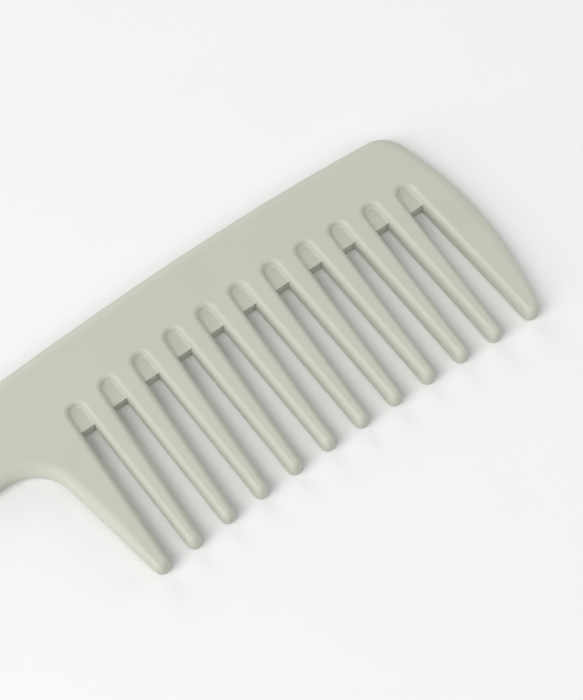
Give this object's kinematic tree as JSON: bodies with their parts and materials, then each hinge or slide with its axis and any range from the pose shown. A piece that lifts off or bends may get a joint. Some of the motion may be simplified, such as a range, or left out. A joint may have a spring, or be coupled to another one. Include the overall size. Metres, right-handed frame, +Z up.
{
  "type": "wide tooth comb",
  "caption": "Flat moulded wide tooth comb with a bowed head, tapered round-tipped teeth, thin recessed webs at the roots and a plain rounded handle.",
  "frame": {"origin": "middle of the bounding box of the underside, on the surface the comb lies on", "axes": "+X along the comb's length from the handle to the head's free end, teeth pointing to -Y, +Z up out of the face"},
  "size_m": [0.2046, 0.0586, 0.005],
  "materials": {
    "comb_plastic": "satin moulded plastic, sage grey right through"
  },
  "bodies": {
    "root": {"spine": "comb_plastic", "handle": "comb_plastic", "tooth_01": "comb_plastic", "tooth_02": "comb_plastic", "tooth_03": "comb_plastic", "tooth_04": "comb_plastic", "tooth_05": "comb_plastic", "tooth_06": "comb_plastic", "tooth_07": "comb_plastic", "tooth_08": "comb_plastic", "tooth_09": "comb_plastic", "tooth_10": "comb_plastic", "tooth_11": "comb_plastic", "tooth_12": "comb_plastic", "root_web_01": "comb_plastic", "root_web_02": "comb_plastic", "root_web_03": "comb_plastic", "root_web_04": "comb_plastic", "root_web_05": "comb_plastic", "root_web_06": "comb_plastic", "root_web_07": "comb_plastic", "root_web_08": "comb_plastic", "root_web_09": "comb_plastic", "root_web_10": "comb_plastic", "root_web_11": "comb_plastic"}
  },
  "joints": []
}
